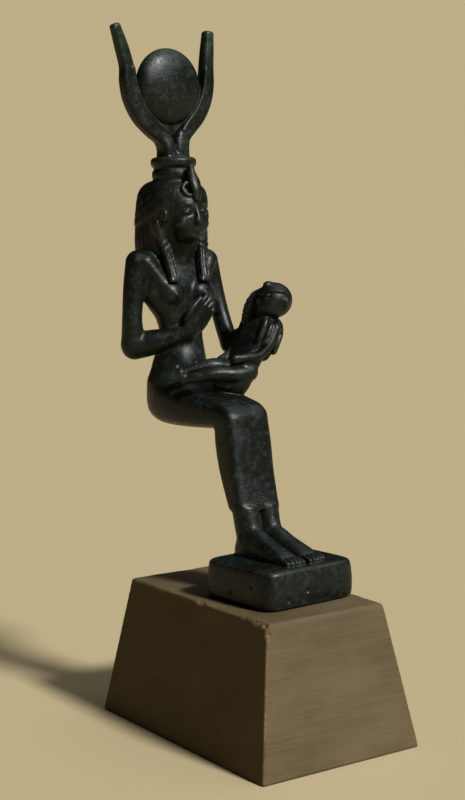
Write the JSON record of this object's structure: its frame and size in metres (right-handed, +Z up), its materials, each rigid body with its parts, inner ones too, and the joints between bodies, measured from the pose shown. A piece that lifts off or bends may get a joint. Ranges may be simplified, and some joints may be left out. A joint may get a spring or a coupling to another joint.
{
  "type": "isis statuette",
  "caption": "Cast bronze statuette of a seated goddess in a crown of horns and disc, nursing a child on her lap, on a foot plinth set on a tapered wooden block.",
  "frame": {"origin": "middle of the wooden block's underside", "axes": "+Z up through the block and the crown, the goddess faces -Y, +X is towards her left hand"},
  "size_m": [0.0656, 0.1113, 0.2507],
  "materials": {
    "patinated_bronze": "cast bronze under a smooth, nearly black green patina, rubbed bright on the high places",
    "painted_wood": "thin grey-beige paint over sanded softwood, matt"
  },
  "bodies": {
    "root": {"isis_and_horus_bronze": "patinated_bronze", "wooden_block": "painted_wood"}
  },
  "joints": []
}
